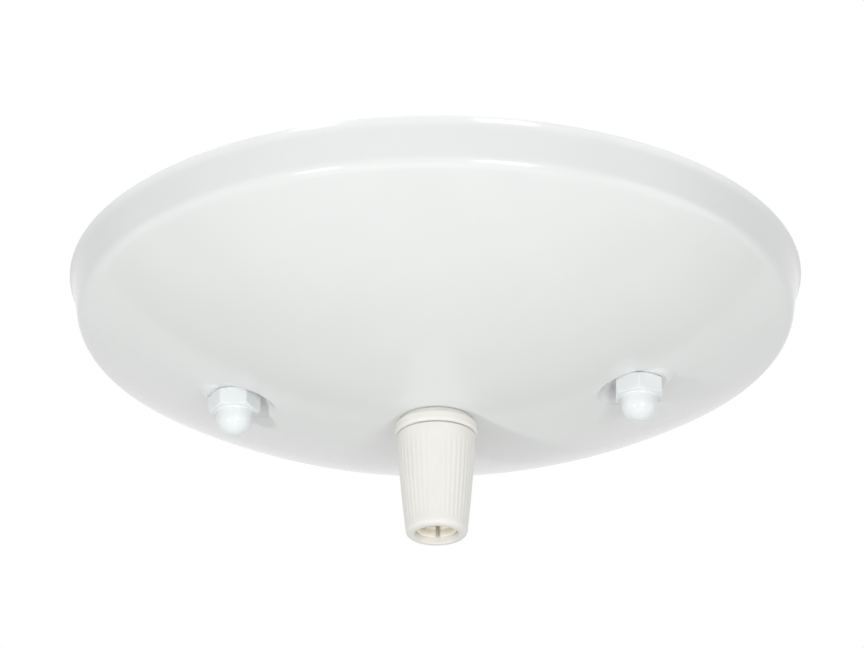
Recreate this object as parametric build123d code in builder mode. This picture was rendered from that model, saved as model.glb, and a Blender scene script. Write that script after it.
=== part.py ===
from build123d import *
from math import cos, radians, sqrt, tan
import os

os.makedirs("parts", exist_ok=True)

# A round domed ceiling canopy for a pendant light, in millimetres.
# The origin is the centre of the ceiling plane, +Z points up into the ceiling,
# and the two cap nuts stand on the X axis.

# Canopy, one pressing of sheet steel
rim_r = 63.5
canopy_depth = 26.0
sheet = 0.8
wall_height = 7.75
wall_draft = 9.0
shoulder_r = 3.0
lip_flare = 0.4
lip_height = 1.6

# Flat nut seats pressed into the dome
seat_r = 5.0
seat_slope = 38.0
seat_rise = 0.8
seat_reach = 4.5

# Threads, taken at their outer radius
stud_r = 2.08
nipple_r = 4.95
thread_fit = 0.05
hole_play = 0.4
face_gap = 0.05

# Studs and their spacing
stud_spacing = 69.85
stud_reach = 5.28
stud_chamfer = 0.4
stud_nut_flats = 8.73
stud_nut_height = 3.2

# Cap nuts
nut_flats = 7.94
nut_hex_height = 3.2
nut_dome_r = 3.18
nut_neck = 1.2
nut_hole_spare = 0.37
nut_chamfer = 0.35
left_nut_turn = 4.0
right_nut_turn = 33.0

# Crossbar that carries the studs
bar_width = 16.0
bar_thick = 1.6
bar_corner_r = 4.0
bar_collar_wall = 1.5
bar_collar_height = 1.0
bar_collar_chamfer = 0.3
box_screw_spacing = 88.9
box_slot_length = 9.0
box_slot_r = 2.4
bar_end_margin = 3.05
bar_centre_r = 5.2
ground_x = -20.0

# Earthing screw and its cup washer
ground_r = 2.4
ground_length = 6.4
ground_head_r = 4.0
ground_flange_r = 5.0
ground_flange_height = 0.8
ground_head_height = 3.0
ground_slot_width = 1.0
ground_slot_depth = 1.2
cup_thick = 0.7
cup_r = 5.2
cup_rim_height = 1.4

# Cord grip body, moulded with a flange and a threaded nipple
flange_margin = 0.3
flange_thick = 2.7
flange_round = 0.5
flange_back_run = 0.9
flange_back_depth = 1.1
nipple_length = 11.0
spigot_r = 5.2
spigot_length = 6.0
cord_passage_r = 3.4
passage_flare = 0.6

# Lock washer and nut that hold the grip in the canopy
washer_r = 7.6
washer_thick = 0.7
washer_teeth = 12
tooth_gap = 1.6
tooth_depth = 1.3
lock_nut_flats = 14.0
lock_nut_height = 2.8
lock_nut_chamfer = 0.5

# Ribbed cap of the cord grip
cap_gap = 0.15
cap_length = 18.3
cap_top_r = 6.8
cap_end_r = 5.2
cap_bulge = 0.12
cap_end_round = 0.9
cap_rim_round = 0.3
cap_band = 2.1
rib_count = 42
rib_depth = 0.2
rib_groove_half = 0.5
rib_end_gap = 1.4
cap_thread_length = 7.0
cap_mouth_r = 3.8
cap_mouth_length = 1.4

# Split jaw inside the cap
jaw_bore_r = 3.0
jaw_gap = 0.3
jaw_ring_height = 2.0
jaw_slits = 4
jaw_slit_width = 0.8
jaw_end_gap = 1.0
jaw_groove_depth = 0.3
jaw_groove_pitch = 1.6
jaw_grooves = 4

# Levels and places that follow from these sizes
stud_x = stud_spacing / 2
draft_run = tan(radians(wall_draft))
dome_rise = canopy_depth - wall_height
dome_edge_r = rim_r - lip_flare - wall_height * draft_run
dome_r = (dome_edge_r**2 + dome_rise**2) / (2 * dome_rise)
dome_centre_z = dome_r - canopy_depth
apex_z = -canopy_depth
seat_z = dome_centre_z - sqrt(dome_r**2 - stud_x**2) + seat_rise
seat_run = tan(radians(seat_slope))
wall_shift = sheet / cos(radians(seat_slope))
stud_end_z = seat_z - stud_reach
bar_under_z = -bar_thick
bar_length = box_screw_spacing + box_slot_length + 2 * bar_end_margin
flange_r = cap_top_r + flange_margin
flange_back_r = flange_r - flange_back_run
flange_under_z = apex_z - flange_thick
spigot_end_z = flange_under_z - spigot_length
cap_top_z = flange_under_z - cap_gap
cap_end_z = cap_top_z - cap_length
cap_bore_r = spigot_r + thread_fit
cone_top_z = cap_top_z - cap_thread_length
cone_end_z = cap_end_z + cap_mouth_length
jaw_top_z = spigot_end_z - jaw_gap
jaw_end_z = cap_end_z + jaw_end_gap
washer_z = dome_centre_z - sqrt((dome_r - sheet) ** 2 - washer_r**2) + face_gap
lock_nut_z = washer_z + washer_thick + face_gap
stud_nut_z = bar_under_z - stud_nut_height - face_gap


def upright(x, z=0.0):
    # Vertical plane through (x, 0), its own origin at height z
    return Plane(origin=(x, 0, z), x_dir=(1, 0, 0), z_dir=(0, -1, 0))


def stem(x):
    # Vertical axis through (x, 0)
    return Axis((x, 0, 0), (0, 0, 1))


def save(piece, name):
    piece.part.label = name
    export_step(piece.part, f"parts/{name}.step")


def dome_form(inset):
    # Solid bowl whose skin lies inset inside the outer skin
    skin_r = dome_r - inset
    wall_r = rim_r - lip_flare - inset / cos(radians(wall_draft))
    a = 1 + draft_run**2
    b = wall_r * draft_run - dome_centre_z
    c = wall_r**2 + dome_centre_z**2 - skin_r**2
    corner_z = (-b - sqrt(b**2 - a * c)) / a
    corner_r = wall_r + corner_z * draft_run
    lip_r = wall_r - lip_height * draft_run
    with BuildPart() as form:
        with BuildSketch(Plane.XZ):
            with BuildLine():
                Line((0, dome_centre_z - skin_r), (0, 0))
                Line((0, 0), (rim_r - inset, 0))
                TangentArc((lip_r, -lip_height), (rim_r - inset, 0), tangent=(draft_run, 1))
                Line((lip_r, -lip_height), (corner_r, corner_z))
                RadiusArc((corner_r, corner_z), (0, dome_centre_z - skin_r), skin_r)
            make_face()
        revolve(axis=Axis.Z)
        shoulder = form.edges().filter_by(GeomType.CIRCLE).filter_by_position(
            Axis.Z, corner_z - lip_height / 2, corner_z + lip_height / 2
        )
        fillet(shoulder, radius=shoulder_r - inset)
    return form.part


def seat_cone(x, z, start_r, height):
    # Cone that widens away from a seat, upwards or downwards with the sign of height
    end_r = start_r + abs(height) * seat_run
    with BuildPart() as cone:
        with BuildSketch(upright(x, z)):
            with BuildLine():
                Polyline((0, 0), (start_r, 0), (end_r, height), (0, height), close=True)
            make_face()
        revolve(axis=stem(x))
    return cone.part


def canopy():
    void_floor_z = seat_z + sheet
    floor_step = wall_shift - sheet * seat_run
    with BuildPart() as void:
        add(dome_form(sheet))
        for x in (-stud_x, stud_x):
            add(seat_cone(x, void_floor_z, seat_r + floor_step, -seat_reach), mode=Mode.SUBTRACT)
            add(seat_cone(x, void_floor_z, seat_r - floor_step, seat_reach))
    with BuildPart() as shell:
        add(dome_form(0))
        for x in (-stud_x, stud_x):
            add(seat_cone(x, seat_z, seat_r, -seat_reach), mode=Mode.SUBTRACT)
            add(seat_cone(x, seat_z, seat_r, seat_reach))
        add(void.part, mode=Mode.SUBTRACT)
        with BuildSketch(Plane.XY.offset(apex_z - sheet)):
            Circle(nipple_r + hole_play)
            with Locations((-stud_x, 0), (stud_x, 0)):
                Circle(stud_r + hole_play)
        extrude(amount=canopy_depth, mode=Mode.SUBTRACT)
    return shell


def crossbar():
    # Strip with slots for the box screws, tapped holes and a collar round its centre hole
    with BuildPart() as bar:
        with BuildSketch(Plane.XY.offset(bar_under_z)):
            RectangleRounded(bar_length, bar_width, bar_corner_r)
            with Locations((-box_screw_spacing / 2, 0), (box_screw_spacing / 2, 0)):
                SlotOverall(box_slot_length, 2 * box_slot_r, mode=Mode.SUBTRACT)
            with Locations((-stud_x, 0), (stud_x, 0)):
                Circle(stud_r + thread_fit, mode=Mode.SUBTRACT)
            with Locations((ground_x, 0)):
                Circle(ground_r + thread_fit, mode=Mode.SUBTRACT)
            Circle(bar_centre_r, mode=Mode.SUBTRACT)
        extrude(amount=bar_thick)
        with BuildSketch(Plane.XY.offset(bar_under_z)):
            Circle(bar_centre_r + bar_collar_wall)
            Circle(bar_centre_r, mode=Mode.SUBTRACT)
        extrude(amount=-bar_collar_height)
        collar_edges = bar.faces().sort_by(Axis.Z)[0].edges()
        chamfer(collar_edges.sort_by(SortBy.RADIUS)[-1], length=bar_collar_chamfer)
    return bar


def stud(x):
    with BuildPart() as rod:
        with BuildSketch(Plane((x, 0, stud_end_z))):
            Circle(stud_r)
        extrude(amount=-stud_end_z)
        chamfer(rod.edges().filter_by(GeomType.CIRCLE), length=stud_chamfer)
    return rod


def hex_blank(x, under_z, flats, height, corner_cut, turn):
    # Hexagon bar with its corners turned off above and below
    corner_r = flats / sqrt(3)
    with BuildPart() as blank:
        with BuildSketch(Plane((x, 0, under_z))):
            RegularPolygon(flats / 2, 6, major_radius=False, rotation=turn)
        extrude(amount=height)
        with BuildSketch(upright(x, under_z)):
            with BuildLine():
                Polyline(
                    (0, 0),
                    (flats / 2, 0),
                    (corner_r, corner_cut),
                    (corner_r, height - corner_cut),
                    (flats / 2, height),
                    (0, height),
                    close=True,
                )
            make_face()
        revolve(axis=stem(x), mode=Mode.INTERSECT)
    return blank.part


def hex_nut(x, under_z, flats, height, corner_cut, bore_r):
    with BuildPart() as nut:
        add(hex_blank(x, under_z, flats, height, corner_cut, 0))
        with BuildSketch(Plane((x, 0, under_z))):
            Circle(bore_r)
        extrude(amount=height, mode=Mode.SUBTRACT)
    return nut


def cap_nut(x, turn):
    # Hexagon under its seat, then a short neck and a dome over a blind thread
    top_z = seat_z - face_gap
    hex_end_z = top_z - nut_hex_height
    with BuildPart() as nut:
        add(hex_blank(x, hex_end_z, nut_flats, nut_hex_height, nut_chamfer, turn))
        with BuildSketch(upright(x, hex_end_z)):
            with BuildLine():
                Line((0, 0), (nut_dome_r, 0))
                Line((nut_dome_r, 0), (nut_dome_r, -nut_neck))
                RadiusArc((nut_dome_r, -nut_neck), (0, -nut_neck - nut_dome_r), nut_dome_r)
                Line((0, -nut_neck - nut_dome_r), (0, 0))
            make_face()
        revolve(axis=stem(x))
        with BuildSketch(Plane((x, 0, stud_end_z - nut_hole_spare))):
            Circle(stud_r + thread_fit)
        extrude(amount=stud_reach + nut_hole_spare, mode=Mode.SUBTRACT)
    return nut


def ground_screw():
    # Slotted washer-head screw, backed out so that a wire can go under it
    head_top_z = -ground_length
    with BuildPart() as screw:
        with BuildSketch(upright(ground_x, head_top_z)):
            with BuildLine():
                Polyline(
                    (0, ground_length),
                    (ground_r - stud_chamfer, ground_length),
                    (ground_r, ground_length - stud_chamfer),
                    (ground_r, 0),
                    (ground_flange_r, 0),
                    (ground_flange_r, -ground_flange_height),
                    (0, -ground_flange_height),
                    close=True,
                )
            make_face()
        revolve(axis=stem(ground_x))
        with BuildSketch(Plane((ground_x, 0, head_top_z - ground_head_height))):
            RegularPolygon(ground_head_r, 6, major_radius=False)
        extrude(amount=ground_head_height)
        with BuildSketch(Plane((ground_x, 0, head_top_z - ground_head_height))):
            Rectangle(2 * ground_flange_r, ground_slot_width)
        extrude(amount=ground_slot_depth, mode=Mode.SUBTRACT)
    return screw


def ground_washer():
    # Cup washer that lies on the screw's flange, its rim turned up
    under_z = -ground_length + face_gap
    with BuildPart() as cup:
        with BuildSketch(upright(ground_x, under_z)):
            with BuildLine():
                Polyline(
                    (ground_r + hole_play, 0),
                    (cup_r, 0),
                    (cup_r, cup_rim_height),
                    (cup_r - cup_thick, cup_rim_height),
                    (cup_r - cup_thick, cup_thick),
                    (ground_r + hole_play, cup_thick),
                    close=True,
                )
            make_face()
        revolve(axis=stem(ground_x))
    return cup


def grip_body():
    with BuildPart() as body:
        with BuildSketch(Plane.XZ):
            with BuildLine():
                Polyline(
                    (cord_passage_r, apex_z + nipple_length),
                    (nipple_r - passage_flare, apex_z + nipple_length),
                    (nipple_r, apex_z + nipple_length - passage_flare),
                    (nipple_r, apex_z),
                    (flange_back_r, apex_z),
                    (flange_r, apex_z - flange_back_depth),
                    (flange_r, flange_under_z),
                    (spigot_r, flange_under_z),
                    (spigot_r, spigot_end_z + passage_flare),
                    (spigot_r - passage_flare, spigot_end_z),
                    (cord_passage_r + passage_flare, spigot_end_z),
                    (cord_passage_r, spigot_end_z + passage_flare),
                    close=True,
                )
            make_face()
        revolve(axis=Axis.Z)
        flange_edges = body.edges().filter_by(GeomType.CIRCLE).filter_by(
            lambda e: abs(e.radius - flange_r) < face_gap
        )
        fillet(flange_edges, radius=flange_round)
    return body


def lock_washer():
    # External-tooth washer, resting on the canopy by its outer edge
    with BuildPart() as washer:
        with BuildSketch(Plane.XY.offset(washer_z)):
            Circle(washer_r)
            Circle(nipple_r + hole_play, mode=Mode.SUBTRACT)
            with PolarLocations(washer_r, washer_teeth):
                Rectangle(2 * tooth_depth, tooth_gap, mode=Mode.SUBTRACT)
        extrude(amount=washer_thick)
    return washer


def cap_radius(z):
    # Outer radius of the ribbed cap, a taper with a slight belly
    along = (cap_top_z - z) / cap_length
    return cap_top_r + (cap_end_r - cap_top_r) * along + 4 * cap_bulge * along * (1 - along)


def grip_cap():
    mid_z = (cap_top_z + cap_end_z) / 2
    rib_top_z = cap_top_z - cap_band
    rib_end_z = cap_end_z + rib_end_gap
    with BuildPart() as groove:
        for z in (rib_top_z, mid_z, rib_end_z):
            with BuildSketch(Plane.XY.offset(z)):
                with BuildLine():
                    outer = cap_radius(z)
                    Polyline(
                        (outer - rib_depth, 0),
                        (outer + rib_depth, rib_groove_half),
                        (outer + rib_depth, -rib_groove_half),
                        close=True,
                    )
                make_face()
        loft(ruled=True)
    with BuildPart() as cap:
        with BuildSketch(Plane.XZ):
            with BuildLine():
                ThreePointArc(
                    (cap_top_r, cap_top_z), (cap_radius(mid_z), mid_z), (cap_end_r, cap_end_z)
                )
                Polyline(
                    (cap_end_r, cap_end_z),
                    (cap_mouth_r, cap_end_z),
                    (cap_mouth_r, cone_end_z),
                    (cap_bore_r, cone_top_z),
                    (cap_bore_r, cap_top_z),
                    (cap_top_r, cap_top_z),
                )
            make_face()
        revolve(axis=Axis.Z)
        rings = cap.edges().filter_by(GeomType.CIRCLE).group_by(Axis.Z)
        fillet(rings[0].sort_by(SortBy.RADIUS)[-1], radius=cap_end_round)
        fillet(rings[-1].sort_by(SortBy.RADIUS)[-1], radius=cap_rim_round)
        with PolarLocations(0, rib_count):
            add(groove.part, mode=Mode.SUBTRACT)
    return cap


def grip_jaw():
    # Split cone that the cap squeezes on the cord
    top_r = cap_bore_r - jaw_gap
    end_r = cap_mouth_r - jaw_gap
    groove_top_z = jaw_end_z + (jaw_grooves + 1) * jaw_groove_pitch
    with BuildPart() as jaw:
        with BuildSketch(Plane.XZ):
            with BuildLine():
                Polyline(
                    (jaw_bore_r, jaw_top_z),
                    (top_r, jaw_top_z),
                    (top_r, cone_top_z),
                    (end_r, cone_end_z),
                    (end_r, jaw_end_z),
                    (jaw_bore_r, jaw_end_z),
                    close=True,
                )
            make_face()
        revolve(axis=Axis.Z)
        for n in range(jaw_grooves):
            with BuildSketch(Plane.XZ):
                level = groove_top_z - (n + 1) * jaw_groove_pitch
                with BuildLine():
                    Polyline(
                        (0, level),
                        (jaw_bore_r + jaw_groove_depth, level),
                        (jaw_bore_r, level - jaw_groove_pitch / 2),
                        (0, level - jaw_groove_pitch / 2),
                        close=True,
                    )
                make_face()
            revolve(axis=Axis.Z, mode=Mode.SUBTRACT)
        slit_length = jaw_top_z - jaw_ring_height - jaw_end_z
        with BuildSketch(Plane.XY.offset(jaw_end_z)):
            with PolarLocations(top_r, jaw_slits):
                Rectangle(2 * top_r, jaw_slit_width)
        extrude(amount=slit_length, mode=Mode.SUBTRACT)
    return jaw


save(canopy(), "canopy_shell")
save(crossbar(), "crossbar")
for side, x, turn in (("left", -stud_x, left_nut_turn), ("right", stud_x, right_nut_turn)):
    save(stud(x), f"stud_{side}")
    stud_nut = hex_nut(
        x, stud_nut_z, stud_nut_flats, stud_nut_height, nut_chamfer, stud_r + thread_fit
    )
    save(stud_nut, f"stud_nut_{side}")
    save(cap_nut(x, turn), f"cap_nut_{side}")
save(ground_screw(), "ground_screw")
save(ground_washer(), "ground_washer")
save(grip_body(), "grip_body")
save(lock_washer(), "grip_lock_washer")
lock_nut = hex_nut(
    0, lock_nut_z, lock_nut_flats, lock_nut_height, lock_nut_chamfer, nipple_r + thread_fit
)
save(lock_nut, "grip_lock_nut")
save(grip_jaw(), "grip_jaw")
save(grip_cap(), "grip_cap")
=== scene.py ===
from math import asin, atan2, ceil, cos, hypot, pi, radians, sin, sqrt, tan

import bpy
from mathutils import Matrix, Vector


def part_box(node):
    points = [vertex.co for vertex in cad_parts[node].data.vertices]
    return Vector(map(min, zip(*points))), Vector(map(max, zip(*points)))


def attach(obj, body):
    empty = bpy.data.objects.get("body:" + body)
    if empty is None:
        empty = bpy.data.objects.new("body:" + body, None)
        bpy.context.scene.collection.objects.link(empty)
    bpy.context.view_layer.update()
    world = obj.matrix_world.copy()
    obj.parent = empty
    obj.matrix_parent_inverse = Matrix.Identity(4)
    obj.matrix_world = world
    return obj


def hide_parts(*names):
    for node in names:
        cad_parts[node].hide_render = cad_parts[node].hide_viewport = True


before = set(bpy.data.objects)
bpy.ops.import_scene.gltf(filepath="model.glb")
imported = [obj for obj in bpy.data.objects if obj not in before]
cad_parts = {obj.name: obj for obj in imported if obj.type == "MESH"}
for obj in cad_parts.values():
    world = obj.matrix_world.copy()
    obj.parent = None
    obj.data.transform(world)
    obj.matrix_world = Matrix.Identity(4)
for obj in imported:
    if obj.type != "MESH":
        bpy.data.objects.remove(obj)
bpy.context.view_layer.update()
bpy.ops.object.select_all(action="DESELECT")

mm = 0.001  # the lists of sizes below are in millimetres, Blender works in metres


# Camera, at the photograph's viewing angle from below

cameraValues = {
    "distance": 0.860,
    "below": 25.75,
    "turn": 4.32,
    "aimRight": 0.042,
    "aimUp": -0.449,
    "roll": 0.29,
    "lens": 205.9,
}


def placeCamera(values):
    camera = bpy.data.objects.new("camera", bpy.data.cameras.new("camera"))
    bpy.context.scene.collection.objects.link(camera)
    camera.data.lens = values["lens"]
    camera.data.clip_end = 20
    turn = Matrix.Rotation(radians(values["turn"]), 4, "Z")
    tilt = Matrix.Rotation(radians(90 + values["below"]), 4, "X")
    aim = (Matrix.Rotation(radians(values["aimRight"]), 4, "Y")
           @ Matrix.Rotation(radians(values["aimUp"]), 4, "X")
           @ Matrix.Rotation(radians(-values["roll"]), 4, "Z"))
    back = turn @ tilt @ Vector((0, 0, values["distance"]))
    camera.matrix_world = Matrix.Translation(back) @ turn @ tilt @ aim
    bpy.context.scene.camera = camera
    bpy.context.scene.view_settings.view_transform = "Standard"


placeCamera(cameraValues)
print("camera placed")


# Shader helpers

def linear(hexColour):  # sRGB hex to linear values
    parts = [int(hexColour[i:i + 2], 16) / 255 for i in (1, 3, 5)]
    return [p / 12.92 if p <= 0.04045 else ((p + 0.055) / 1.055) ** 2.4 for p in parts] + [1.0]


def addNode(tree, kind, settings=None, links=None):
    # A node with its settings, and links from (node, output) to its inputs
    node = tree.nodes.new(kind)
    for key, value in (settings or {}).items():
        if isinstance(key, str) and hasattr(node, key):
            setattr(node, key, value)
        else:
            node.inputs[key].default_value = value
    for key, (source, output) in (links or {}).items():
        tree.links.new(source.outputs[output], node.inputs[key])
    return node


# Light, soft and plain, with the white background seen only by the camera and by gloss

lightValues = {
    "ambient": 0.41,
    "distance": 1.6,
    "lamps": [  # towards each lamp from the object; size and distance in metres
        {"name": "keyLeft", "towards": (-0.475, -0.735, -0.485), "size": 0.14, "power": 7.0},
        {"name": "frontRight", "towards": (0.40, -0.825, -0.40), "size": 0.42, "power": 6.6},
        {"name": "below", "towards": (0.0, -0.45, -0.89), "size": 1.8, "power": 9.9},
        {"name": "sideLeft", "towards": (-0.90, -0.15, -0.40), "size": 1.2, "power": 2.0},
        {"name": "sideRight", "towards": (0.90, -0.15, -0.40), "size": 1.2, "power": 3.9},
    ],
}


def lightWorld(values):
    world = bpy.data.worlds.new("softWorld")
    bpy.context.scene.world = world
    world.use_nodes = True
    tree = world.node_tree
    tree.nodes.clear()
    rays = addNode(tree, "ShaderNodeLightPath")
    seen = addNode(tree, "ShaderNodeMath", {"operation": "MAXIMUM"},
                   {0: (rays, "Is Camera Ray"), 1: (rays, "Is Glossy Ray")})
    clear = addNode(tree, "ShaderNodeMath", {"operation": "MAXIMUM"},
                    {0: (seen, 0), 1: (rays, "Is Transmission Ray")})
    whiteColour = (1, 1, 1, 1)
    ambient = addNode(tree, "ShaderNodeBackground", {"Color": whiteColour, "Strength": values["ambient"]})
    white = addNode(tree, "ShaderNodeBackground", {"Color": whiteColour, "Strength": 1.0})
    mix = addNode(tree, "ShaderNodeMixShader", {}, {0: (clear, 0), 1: (ambient, 0), 2: (white, 0)})
    addNode(tree, "ShaderNodeOutputWorld", {}, {"Surface": (mix, 0)})


def lightLamps(values):
    for lamp in values["lamps"]:
        data = bpy.data.lights.new(lamp["name"], "AREA")
        data.size = lamp["size"]
        data.energy = lamp["power"]
        light = bpy.data.objects.new(lamp["name"], data)
        bpy.context.scene.collection.objects.link(light)
        light.location = Vector(lamp["towards"]).normalized() * values["distance"]
        light.rotation_euler = light.location.to_track_quat("Z", "Y").to_euler()


lightWorld(lightValues)
lightLamps(lightValues)
print("lights placed")


# Materials

def newMaterial(name):
    material = bpy.data.materials.new(name)
    material.use_nodes = True
    material.node_tree.nodes.clear()
    place = addNode(material.node_tree, "ShaderNodeTexCoord")
    return material, material.node_tree, place


def noiseAt(tree, place, size, detail=2.0, stretch=(1, 1, 1)):
    # Noise whose grains are about size millimetres across, stretched along the axes
    spread = addNode(tree, "ShaderNodeMapping", {"Scale": stretch}, {"Vector": (place, "Object")})
    return addNode(tree, "ShaderNodeTexNoise", {"Scale": 1 / (size * mm), "Detail": detail},
                   {"Vector": (spread, 0)})


def shadeBetween(tree, noise, low, high, lowColour, highColour):
    # Colour that follows a noise between two hex colours
    ramp = addNode(tree, "ShaderNodeMapRange", {"From Min": low, "From Max": high}, {"Value": (noise, 0)})
    mix = addNode(tree, "ShaderNodeMix", {"data_type": "RGBA"}, {0: (ramp, 0)})
    mix.inputs[6].default_value = linear(lowColour)
    mix.inputs[7].default_value = linear(highColour)
    return mix


def roughSkin(tree, noise, strength, depth):
    # Bump from a noise, its depth in mm
    return addNode(tree, "ShaderNodeBump", {"Strength": strength, "Distance": depth * mm},
                   {"Height": (noise, 0)})


def sheenFrom(tree, noise, roughness, spread):
    # Roughness that follows a noise, up to spread either side
    return addNode(tree, "ShaderNodeMapRange", {"To Min": roughness - spread, "To Max": roughness + spread},
                   {"Value": (noise, 0)})


def closeMaterial(tree, settings, links):
    shader = addNode(tree, "ShaderNodeBsdfPrincipled", settings, links)
    addNode(tree, "ShaderNodeOutputMaterial", {}, {"Surface": (shader, "BSDF")})


enamelValues = {
    "canopyColour": "#E7E9E8", "canopyShade": "#E5E7E6",
    "nutColour": "#E9EDEE", "nutShade": "#E7EAEB",
    "peel": 1.6, "peelDepth": 0.012, "peelStrength": 0.25, "cloud": 18.0,
    "roughness": 0.14, "roughnessSpread": 0.03, "ior": 1.42,
}


def sprayedEnamel(name, colour, shade, values):
    # Stoved gloss enamel on steel, sprayed: even white, a sharp sheen and a faint orange peel
    material, tree, place = newMaterial(name)
    cloud = noiseAt(tree, place, values["cloud"])
    tint = shadeBetween(tree, cloud, 0.35, 0.65, shade, colour)
    peel = noiseAt(tree, place, values["peel"])
    skin = roughSkin(tree, peel, values["peelStrength"], values["peelDepth"])
    sheen = sheenFrom(tree, cloud, values["roughness"], values["roughnessSpread"])
    closeMaterial(tree, {"IOR": values["ior"]},
                  {"Base Color": (tint, 2), "Roughness": (sheen, 0), "Normal": (skin, 0)})
    return material


nylonValues = {
    "gripColour": "#EBE9E4", "gripShade": "#E7E6E0", "jawColour": "#FBF5E8", "jawShade": "#F6EEDE",
    "grain": 0.25, "grainDepth": 0.006, "grainStrength": 0.3, "flow": 5.0, "roughness": 0.42, "ior": 1.53,
    "gripGlow": 0.12, "jawGlow": 0.3, "glowReach": 1.2, "glowWarmth": (1.0, 0.85, 0.6),
}


def mouldedNylon(name, colour, shade, glow, values):
    # Injection moulded nylon: warm white, satin from the tool's fine grain, light soaks in a little
    material, tree, place = newMaterial(name)
    flow = noiseAt(tree, place, values["flow"], stretch=(1, 1, 0.4))
    tint = shadeBetween(tree, flow, 0.35, 0.65, shade, colour)
    grain = noiseAt(tree, place, values["grain"])
    skin = roughSkin(tree, grain, values["grainStrength"], values["grainDepth"])
    settings = {
        "IOR": values["ior"], "Roughness": values["roughness"], "Subsurface Weight": glow,
        "Subsurface Scale": values["glowReach"] * mm, "Subsurface Radius": values["glowWarmth"],
    }
    closeMaterial(tree, settings, {"Base Color": (tint, 2), "Normal": (skin, 0)})
    return material


metalValues = {
    "zincColour": "#C9CCCF", "zincShade": "#B4B8BC", "zincRoughness": 0.32,
    "brassColour": "#D2AE62", "brassShade": "#BE9748", "brassRoughness": 0.28,
    "spot": 4.0, "rollLine": 0.18, "rollRun": 30.0, "rollDepth": 0.01, "rollStrength": 0.25,
    "roughnessSpread": 0.07,
    "greenColour": "#2E7048", "greenShade": "#245C3A", "greenPool": 2.0, "greenMetal": 0.35,
    "greenRoughness": 0.34, "greenCoat": 0.3,
}


def platedMetal(name, colour, shade, roughness, values):
    # Zinc-plated steel or plain brass: mottled sheen, with the fine lines that rolling or turning leaves
    material, tree, place = newMaterial(name)
    mottle = noiseAt(tree, place, values["spot"], 3.0)
    tint = shadeBetween(tree, mottle, 0.3, 0.7, shade, colour)
    lines = noiseAt(tree, place, values["rollLine"], 2.0, (1 / values["rollRun"], 1, 1))
    skin = roughSkin(tree, lines, values["rollStrength"], values["rollDepth"])
    sheen = sheenFrom(tree, lines, roughness, values["roughnessSpread"])
    closeMaterial(tree, {"Metallic": 1.0},
                  {"Base Color": (tint, 2), "Roughness": (sheen, 0), "Normal": (skin, 0)})
    return material


def greenCoating(values):
    # Green chromate lacquer over a steel screw: thin, glossy, darker where it pools
    material, tree, place = newMaterial("greenScrewCoating")
    pool = noiseAt(tree, place, values["greenPool"])
    tint = shadeBetween(tree, pool, 0.3, 0.7, values["greenShade"], values["greenColour"])
    settings = {
        "Metallic": values["greenMetal"], "Roughness": values["greenRoughness"],
        "Coat Weight": values["greenCoat"],
    }
    closeMaterial(tree, settings, {"Base Color": (tint, 2)})
    return material


def paleFloorPaint(values):
    # Matt emulsion rolled on board: pale, even and without a sheen
    material, tree, place = newMaterial("paleFloorPaint")
    cloud = noiseAt(tree, place, values["cloud"])
    tint = shadeBetween(tree, cloud, 0.3, 0.7, values["shade"], values["colour"])
    closeMaterial(tree, {"Roughness": values["roughness"]}, {"Base Color": (tint, 2)})
    return material


canopyEnamel = sprayedEnamel("canopyEnamel", enamelValues["canopyColour"], enamelValues["canopyShade"],
                             enamelValues)
nutEnamel = sprayedEnamel("nutEnamel", enamelValues["nutColour"], enamelValues["nutShade"], enamelValues)
gripNylon = mouldedNylon("gripNylon", nylonValues["gripColour"], nylonValues["gripShade"],
                         nylonValues["gripGlow"], nylonValues)
jawNylon = mouldedNylon("jawNylon", nylonValues["jawColour"], nylonValues["jawShade"],
                        nylonValues["jawGlow"], nylonValues)
zincPlate = platedMetal("zincPlate", metalValues["zincColour"], metalValues["zincShade"],
                        metalValues["zincRoughness"], metalValues)
brassSheet = platedMetal("brassSheet", metalValues["brassColour"], metalValues["brassShade"],
                         metalValues["brassRoughness"], metalValues)
greenScrew = greenCoating(metalValues)
print("materials made")


# Modelling helpers

def arcPoints(centreX, centreZ, radius, start, end, count):
    # Points on an arc, with angles in radians from straight down towards +X
    angles = [start + (end - start) * n / count for n in range(count + 1)]
    return [Vector((centreX + radius * sin(a), centreZ - radius * cos(a))) for a in angles]


def roundedPath(corners, arcSteps=6):
    # Profile from corners (radius, height, rounding), each rounded by an arc tangent to its sides
    path = []
    for n, corner in enumerate(corners):
        here = Vector(corner[:2])
        if len(corner) < 3:
            path.append(here)
            continue
        before = (Vector(corners[n - 1][:2]) - here).normalized()
        after = (Vector(corners[n + 1][:2]) - here).normalized()
        half = before.angle(after) / 2
        middle = here + (before + after).normalized() * corner[2] / sin(half)
        start = here + before * corner[2] / tan(half) - middle
        end = here + after * corner[2] / tan(half) - middle
        path += [middle + start.slerp(end, k / arcSteps) * corner[2] for k in range(arcSteps + 1)]
    return path


def closer(path, step):
    # The same profile with points added, none further apart than step
    dense = [path[0]]
    for a, b in zip(path, path[1:]):
        count = max(1, ceil((b - a).length / step))
        dense += [a.lerp(b, (k + 1) / count) for k in range(count)]
    return dense


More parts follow.
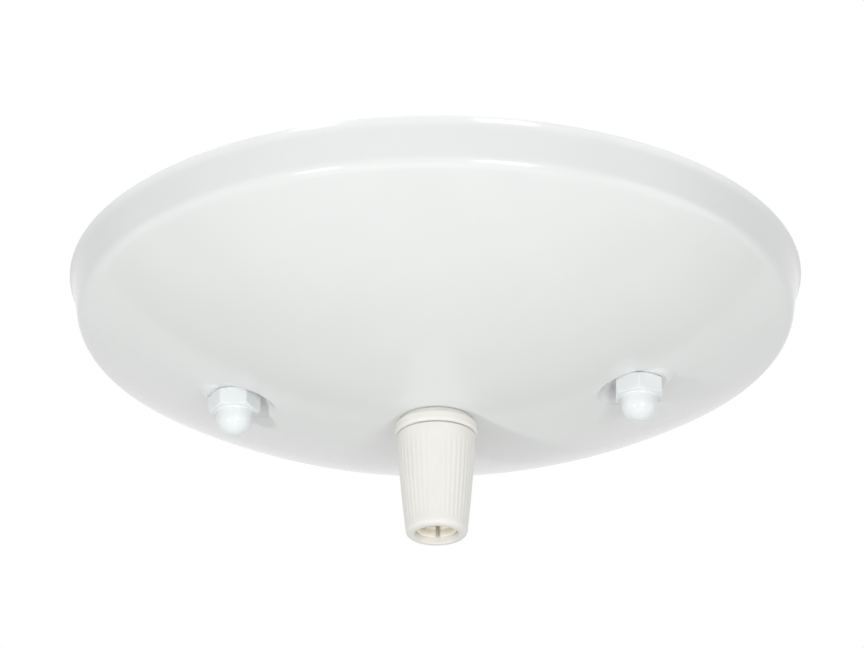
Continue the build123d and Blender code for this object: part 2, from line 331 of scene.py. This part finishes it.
def turnPiece(name, path, steps, x=0.0):
    # A profile in mm drawn out of one vertex and spun round the upright axis at x
    bpy.ops.object.select_all(action="DESELECT")
    bpy.ops.mesh.primitive_plane_add(size=mm, location=((x + path[0].x) * mm, 0, path[0].y * mm))
    piece = bpy.context.active_object
    piece.name = name
    bpy.ops.object.mode_set(mode="EDIT")
    bpy.ops.mesh.select_mode(type="VERT")
    bpy.ops.mesh.merge(type="CENTER")
    for a, b in zip(path, path[1:]):
        step = ((b.x - a.x) * mm, 0, (b.y - a.y) * mm)
        bpy.ops.mesh.extrude_vertices_move(TRANSFORM_OT_translate={"value": step})
    bpy.ops.mesh.select_all(action="SELECT")
    bpy.ops.mesh.spin(steps=steps, angle=2 * pi, center=(x * mm, 0, 0), axis=(0, 0, 1))
    bpy.ops.mesh.select_all(action="SELECT")
    bpy.ops.mesh.remove_doubles(threshold=0.002 * mm)
    bpy.ops.mesh.normals_make_consistent(inside=False)
    bpy.ops.object.mode_set(mode="OBJECT")
    bpy.ops.object.transform_apply(location=True, rotation=False, scale=False)
    return piece


def pressRadius(piece, rule, x=0.0):
    # Each vertex moved to the radius that a rule gives from its radius, angle and height
    for vertex in piece.data.vertices:
        across, deep, z = vertex.co.x / mm - x, vertex.co.y / mm, vertex.co.z / mm
        radius = hypot(across, deep)
        if radius > 0:
            scale = rule(radius, atan2(deep, across), z) / radius
            vertex.co = ((x + across * scale) * mm, deep * scale * mm, vertex.co.z)


def softLeast(a, b, soft):
    # The smaller of two lengths, eased where they are nearly equal
    near = max(soft - abs(a - b), 0) / soft
    return min(a, b) - near * near * soft / 4


def threadRule(pitch, depth, crest, low, high):
    # Right-hand screw thread cut into what reaches the crest radius between two heights
    def rule(radius, angle, z):
        if radius < crest - depth / 2 or not low < z < high:
            return radius
        ease = min(1, (z - low) / pitch, (high - z) / pitch)
        return radius - depth * ease * abs(2 * ((z / pitch - angle / (2 * pi)) % 1) - 1)
    return rule


def selectFaces(piece, wanted):
    # Faces chosen by their centre in mm, then edit mode
    bpy.ops.object.mode_set(mode="EDIT")
    bpy.ops.mesh.select_mode(type="FACE")
    bpy.ops.mesh.select_all(action="DESELECT")
    bpy.ops.object.mode_set(mode="OBJECT")
    for face in piece.data.polygons:
        face.select = wanted(face.center / mm)
    bpy.ops.object.mode_set(mode="EDIT")


def finishPiece(piece, material, body, nodeName, sharpAngle=35):
    bpy.ops.object.select_all(action="DESELECT")
    piece.select_set(True)
    bpy.context.view_layer.objects.active = piece
    bpy.ops.object.shade_smooth_by_angle(angle=radians(sharpAngle))
    piece.data.materials.append(material)
    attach(piece, body)
    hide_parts(nodeName)
    print(piece.name, "made with", len(piece.data.polygons), "faces")


def boxOf(nodeName):  # lowest and highest corner in mm
    low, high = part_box(nodeName)
    return Vector(low) / mm, Vector(high) / mm


# Canopy, one pressing

shellValues = {
    "depth": 26.0, "sheet": 0.8, "wallHeight": 7.75, "wallDraft": 9.0, "shoulder": 3.0,
    "lipFlare": 0.4, "lipHeight": 1.6, "centreHole": 5.35, "studHole": 2.48,
    "seatRadius": 5.0, "seatSlope": 38.0, "seatSoft": 0.3, "rimSoft": 0.08, "nutGap": 0.05,
    "steps": 200, "ring": 1.0, "wallRing": 0.6, "shoulderSteps": 8, "lipSteps": 6,
    "seatArea": 10.0, "seatCuts": 5, "seatEdge": 2.0, "holeEdge": 0.12,
}
studX = (boxOf("stud_right")[0].x + boxOf("stud_right")[1].x) / 2
seatZ = boxOf("cap_nut_right")[1].z + shellValues["nutGap"]


def skinPath(values, rim, radius, centre):
    # Outer skin from the centre hole over dome, shoulder and wall to a lip that runs on past the ceiling
    draft = tan(radians(values["wallDraft"]))
    slant = hypot(1, draft)
    wall, bend = rim - values["lipFlare"], values["shoulder"]
    near = wall - bend * slant
    half = near * draft - centre
    rest = near ** 2 + centre ** 2 - (radius - bend) ** 2
    bendZ = (-half - sqrt(half ** 2 - slant ** 2 * rest)) / slant ** 2
    bendX = near + bendZ * draft
    domeStart, domeEnd = asin(values["centreHole"] / radius), atan2(bendX, centre - bendZ)
    rings = ceil((domeEnd - domeStart) * radius / values["ring"])
    path = arcPoints(0, centre, radius, domeStart, domeEnd, rings)
    path += arcPoints(bendX, bendZ, bend, domeEnd, atan2(1, draft), values["shoulderSteps"])[1:]
    lipX, lipZ = wall - values["lipHeight"] * draft, -values["lipHeight"]
    path += closer([path[-1], Vector((lipX, lipZ))], values["wallRing"])[1:]
    leanStart, leanChord = radians(values["wallDraft"]), atan2(rim - lipX, -lipZ)
    lipRadius = hypot(rim - lipX, lipZ) / (2 * sin(leanChord - leanStart))
    for n in range(1, values["lipSteps"] + 1):
        lean = leanStart + (leanChord - leanStart) * 2 * n / values["lipSteps"]
        path.append(Vector((lipX + lipRadius * (cos(leanStart) - cos(lean)),
                            lipZ + lipRadius * (sin(lean) - sin(leanStart)))))
    path.append(path[-1] + Vector((sin(lean), cos(lean))) * values["sheet"])
    return path


def seatHeight(values, radius, centre, x, y):
    # Height of the outer skin near a stud: the dome, held to a flat seat with sloped, eased sides
    dome = centre - sqrt(radius ** 2 - x ** 2 - y ** 2)
    away = hypot(abs(x) - studX, y) - values["seatRadius"]
    soft = values["seatSoft"]
    ramp = away if away > soft else max(away + soft, 0) ** 2 / (4 * soft)
    room = ramp / tan(radians(values["seatSlope"]))
    if room <= 0:
        return seatZ
    lift, ease = (dome - seatZ) / room, values["rimSoft"]
    size = abs(lift)
    if size >= 1 + ease:
        size = 1
    elif size > 1 - ease:
        size = 1 - (1 + ease - size) ** 2 / (4 * ease)
    return seatZ + room * (size if lift > 0 else -size)


def pressShell(values):
    rim = boxOf("canopy_shell")[1].x
    edge = rim - values["lipFlare"] - values["wallHeight"] * tan(radians(values["wallDraft"]))
    rise = values["depth"] - values["wallHeight"]
    radius = (edge ** 2 + rise ** 2) / (2 * rise)
    centre = radius - values["depth"]
    shell = turnPiece("canopyShell", skinPath(values, rim, radius, centre), values["steps"])

    def fromStud(place):
        return hypot(abs(place.x) - studX, place.y)

    selectFaces(shell, lambda place: fromStud(place) < values["seatArea"])
    bpy.ops.mesh.subdivide(number_cuts=values["seatCuts"])
    bpy.ops.object.mode_set(mode="OBJECT")
    for vertex in shell.data.vertices:
        place = vertex.co / mm
        if fromStud(place) < values["seatArea"] + values["seatEdge"]:
            vertex.co.z = seatHeight(values, radius, centre, place.x, place.y) * mm
    selectFaces(shell, lambda place: fromStud(place) < values["studHole"])
    bpy.ops.mesh.delete(type="FACE")
    bpy.ops.object.mode_set(mode="OBJECT")
    for vertex in shell.data.vertices:  # the jagged hole is drawn out to its true circle
        place = vertex.co / mm
        away = fromStud(place)
        if away < values["studHole"] + values["holeEdge"]:
            side = studX if place.x > 0 else -studX
            grow = values["studHole"] / away
            vertex.co.x = (side + (place.x - side) * grow) * mm
            vertex.co.y = place.y * grow * mm
    wall = shell.modifiers.new("sheet", "SOLIDIFY")
    wall.thickness = values["sheet"] * mm
    wall.offset = -1
    wall.use_even_offset = True
    bpy.ops.object.modifier_apply(modifier=wall.name)
    bpy.ops.object.mode_set(mode="EDIT")
    bpy.ops.mesh.select_all(action="SELECT")
    bpy.ops.mesh.bisect(plane_co=(0, 0, 0), plane_no=(0, 0, 1), clear_outer=True)
    bpy.ops.mesh.select_mode(type="EDGE")
    bpy.ops.mesh.select_all(action="DESELECT")
    bpy.ops.mesh.select_non_manifold(extend=False, use_wire=False, use_multi_face=False,
                                     use_non_contiguous=False, use_verts=False)
    bpy.ops.mesh.bridge_edge_loops()
    bpy.ops.object.mode_set(mode="OBJECT")
    return shell


canopyShell = pressShell(shellValues)
finishPiece(canopyShell, canopyEnamel, "root", "canopy_shell")


# Cap nuts, turned from hexagon bar

nutValues = {
    "flats": 7.94, "hexHeight": 3.2, "chamfer": 0.35, "faceInset": 0.1, "dome": 3.18,
    "holeRadius": 2.13, "holeDepth": 5.6, "holeRound": 0.1, "cornerEase": 0.06, "cornerRound": 0.12,
    "underRound": 0.2, "neckRound": 0.25, "tipFlat": 0.01, "arcSteps": 10, "ring": 0.15,
    "leftTurn": 4.0, "rightTurn": 33.0, "steps": 288,
}


def turnCapNut(values):
    # Closed profile from the blind hole over the hexagon's corner circle to the dome's tip
    low, high = boxOf("cap_nut_right")
    top, tip = high.z, low.z
    half = values["flats"] / 2
    corner = values["flats"] / sqrt(3) - values["cornerEase"]
    under = top - values["hexHeight"]
    hole, holeEnd = values["holeRadius"], top - values["holeDepth"]
    inset, bend, dome = half - values["faceInset"], values["cornerRound"], values["dome"]
    corners = [
        (0, holeEnd), (hole, holeEnd), (hole, top, values["holeRound"]), (inset, top),
        (corner, top - values["chamfer"], bend), (corner, under + values["chamfer"], bend),
        (inset, under, values["underRound"]), (dome, under, values["neckRound"]),
        (dome, tip, dome - values["tipFlat"]), (0, tip),
    ]
    path = closer(roundedPath(corners, values["arcSteps"]), values["ring"])
    return turnPiece("capNutRight", path, values["steps"], studX)


def hexRule(values, turn):
    def rule(radius, angle, z):
        across = (angle - radians(turn)) % (pi / 3) - pi / 6
        return softLeast(radius, values["flats"] / 2 / cos(across), values["cornerEase"])
    return rule


def placeNut(nut, turn, x, body, nodeName):
    pressRadius(nut, hexRule(nutValues, turn), x)
    finishPiece(nut, nutEnamel, body, nodeName, 50)


capNutRight = turnCapNut(nutValues)
capNutLeft = capNutRight.copy()
capNutLeft.data = capNutRight.data.copy()
capNutLeft.name = "capNutLeft"
bpy.context.scene.collection.objects.link(capNutLeft)
capNutLeft.data.transform(Matrix.Translation((-2 * studX * mm, 0, 0)))
placeNut(capNutRight, nutValues["rightTurn"], studX, "nut_right", "cap_nut_right")
placeNut(capNutLeft, nutValues["leftTurn"], -studX, "nut_left", "cap_nut_left")


# Cord grip: body with flange and two threads, and the ribbed cap

gripValues = {
    "passage": 3.4, "nipple": 4.95, "nippleLength": 11.0, "nipplePitch": 1.0, "nippleThread": 0.55,
    "flangeBack": 6.2, "flangeBackDepth": 1.1, "flangeThick": 2.7, "spigot": 5.2, "spigotPitch": 1.5,
    "spigotThread": 0.6, "lead": 0.6, "leadRound": 0.3, "cornerRound": 0.2, "rootRound": 0.1,
    "flangeRound": 0.45, "backRound": 0.3, "ring": 0.15, "steps": 96,
}


def mouldGripBody(values):
    low, high = boxOf("grip_body")
    flange, top, end = high.x, high.z, low.z
    apex = top - values["nippleLength"]
    under = apex - values["flangeThick"]
    passage, nipple, spigot = values["passage"], values["nipple"], values["spigot"]
    lead, leadRound, edge = values["lead"], values["leadRound"], values["cornerRound"]
    root, bend = values["rootRound"], values["flangeRound"]
    corners = [
        (passage, top, edge), (nipple - lead, top, edge), (nipple, top - lead, leadRound),
        (nipple, apex, root), (values["flangeBack"], apex, values["backRound"]),
        (flange, apex - values["flangeBackDepth"], bend), (flange, under, bend), (spigot, under, root),
        (spigot, end + lead, leadRound), (spigot - lead, end, edge), (passage + lead, end, edge),
        (passage, end + lead, leadRound),
    ]
    middle = (passage, (top + end) / 2)
    path = closer(roundedPath([middle, *corners, middle]), values["ring"])
    body = turnPiece("gripBody", path, values["steps"])
    pressRadius(body, threadRule(values["nipplePitch"], values["nippleThread"], nipple, apex, top))
    pressRadius(body, threadRule(values["spigotPitch"], values["spigotThread"], spigot, end, under))
    return body


gripBody = mouldGripBody(gripValues)
finishPiece(gripBody, gripNylon, "root", "grip_body", 50)

capValues = {
    "topRadius": 6.8, "endRadius": 5.2, "belly": 0.12, "tapers": 12, "rimRound": 0.3, "endRound": 0.9,
    "band": 2.1, "ribEnd": 1.4, "ribs": 42, "ribDepth": 0.08, "ribFade": 0.6, "ribSteps": 8,
    "bore": 5.25, "boreSlack": 0.6, "threadLength": 7.0, "mouth": 3.8, "mouthLength": 1.4,
    "mouthRound": 0.2, "coneRound": 0.5, "ring": 0.4,
}


def mouldGripCap(values):
    low, high = boxOf("grip_cap")
    top, end = high.z, low.z
    length = top - end
    outer = []
    for n in range(1, values["tapers"]):  # a taper with a slight belly
        along = n / values["tapers"]
        straight = values["topRadius"] + (values["endRadius"] - values["topRadius"]) * along
        outer.append((straight + 4 * values["belly"] * along * (1 - along), top - length * along))
    edge, cone = values["mouthRound"], values["coneRound"]
    corners = [
        (values["topRadius"], top, values["rimRound"]), *outer,
        (values["endRadius"], end, values["endRound"]), (values["mouth"], end, edge),
        (values["mouth"], end + values["mouthLength"], cone),
        (values["bore"], top - values["threadLength"], cone), (values["bore"], top, edge),
    ]
    middle = ((values["topRadius"] + values["bore"]) / 2, top)
    path = closer(roundedPath([middle, *corners, middle]), values["ring"])
    cap = turnPiece("gripCap", path, values["ribs"] * values["ribSteps"])
    ribTop, ribLow = top - values["band"], end + values["ribEnd"]

    def ribRule(radius, angle, z):  # rounded ribs that fade out at both ends
        if radius < values["bore"] - values["boreSlack"] or not ribLow < z < ribTop or radius < wallMiddle(z):
            return radius
        fade = min(1, (z - ribLow) / values["ribFade"], (ribTop - z) / values["ribFade"])
        return radius - values["ribDepth"] * fade * (0.5 + 0.5 * cos(angle * values["ribs"]))

    def wallMiddle(z):  # radius half way through the wall, which tells the outside from the bore
        along = (top - z) / length
        outside = values["topRadius"] + (values["endRadius"] - values["topRadius"]) * along
        inside = min(values["bore"], values["mouth"] + (z - end - values["mouthLength"]) * (
            (values["bore"] - values["mouth"]) / (length - values["threadLength"] - values["mouthLength"])))
        return (outside + inside) / 2

    pressRadius(cap, ribRule)
    return cap


gripCap = mouldGripCap(capValues)
finishPiece(gripCap, gripNylon, "cap", "grip_cap", 50)


# Studs, all thread

studValues = {"pitch": 0.794, "thread": 0.42, "chamfer": 0.4, "ring": 0.1, "steps": 48}


def rollStud(name, nodeName, values):
    low, high = boxOf(nodeName)
    x, radius = (low.x + high.x) / 2, (high.x - low.x) / 2
    cut = values["chamfer"]
    path = closer(roundedPath([
        (0, low.z), (radius - cut, low.z), (radius, low.z + cut), (radius, high.z - cut),
        (radius - cut, high.z), (0, high.z)]), values["ring"])
    stud = turnPiece(name, path, values["steps"], x)
    pressRadius(stud, threadRule(values["pitch"], values["thread"], radius, low.z, high.z), x)
    finishPiece(stud, zincPlate, "root", nodeName, 60)


rollStud("studLeft", "stud_left", studValues)
rollStud("studRight", "stud_right", studValues)


# Carried-over CAD pieces, with their finish and eased edges

bevelSteps, bevelAngle, flatAngle = 3, 35, 1
finishes = {
    "grip_jaw": (jawNylon, 0.1),  # material, and easing of the edges in mm
    "crossbar": (zincPlate, 0.15),
    "stud_nut_left": (zincPlate, 0.15),
    "stud_nut_right": (zincPlate, 0.15),
    "grip_lock_washer": (zincPlate, 0.08),
    "grip_lock_nut": (zincPlate, 0.15),
    "ground_screw": (greenScrew, 0.12),
    "ground_washer": (brassSheet, 0.1),
}
for nodeName, (finish, easing) in finishes.items():
    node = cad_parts[nodeName]
    node.data.materials.clear()
    node.data.materials.append(finish)
    weld = node.modifiers.new("joined", "WELD")
    weld.merge_threshold = 0.001 * mm
    plain = node.modifiers.new("plainFaces", "DECIMATE")
    plain.decimate_type = "DISSOLVE"
    plain.angle_limit = radians(flatAngle)
    bevel = node.modifiers.new("easedEdges", "BEVEL")
    bevel.width = easing * mm
    bevel.segments = bevelSteps
    bevel.limit_method = "ANGLE"
    bevel.angle_limit = radians(bevelAngle)
    bevel.use_clamp_overlap = True
print("CAD pieces finished")


# Floor

floorValues = {  # radius and drop in metres, cloud in mm
    "radius": 3.0, "drop": 1.5, "corners": 96, "cloud": 400.0, "roughness": 0.8,
    "colour": "#E6E6E4", "shade": "#E2E2E0",
}
bpy.ops.object.select_all(action="DESELECT")
bpy.ops.mesh.primitive_circle_add(vertices=floorValues["corners"], radius=floorValues["radius"],
                                  fill_type="NGON", location=(0, 0, -floorValues["drop"]))
floor = bpy.context.active_object
floor.name = "floor"
floor.data.materials.append(paleFloorPaint(floorValues))
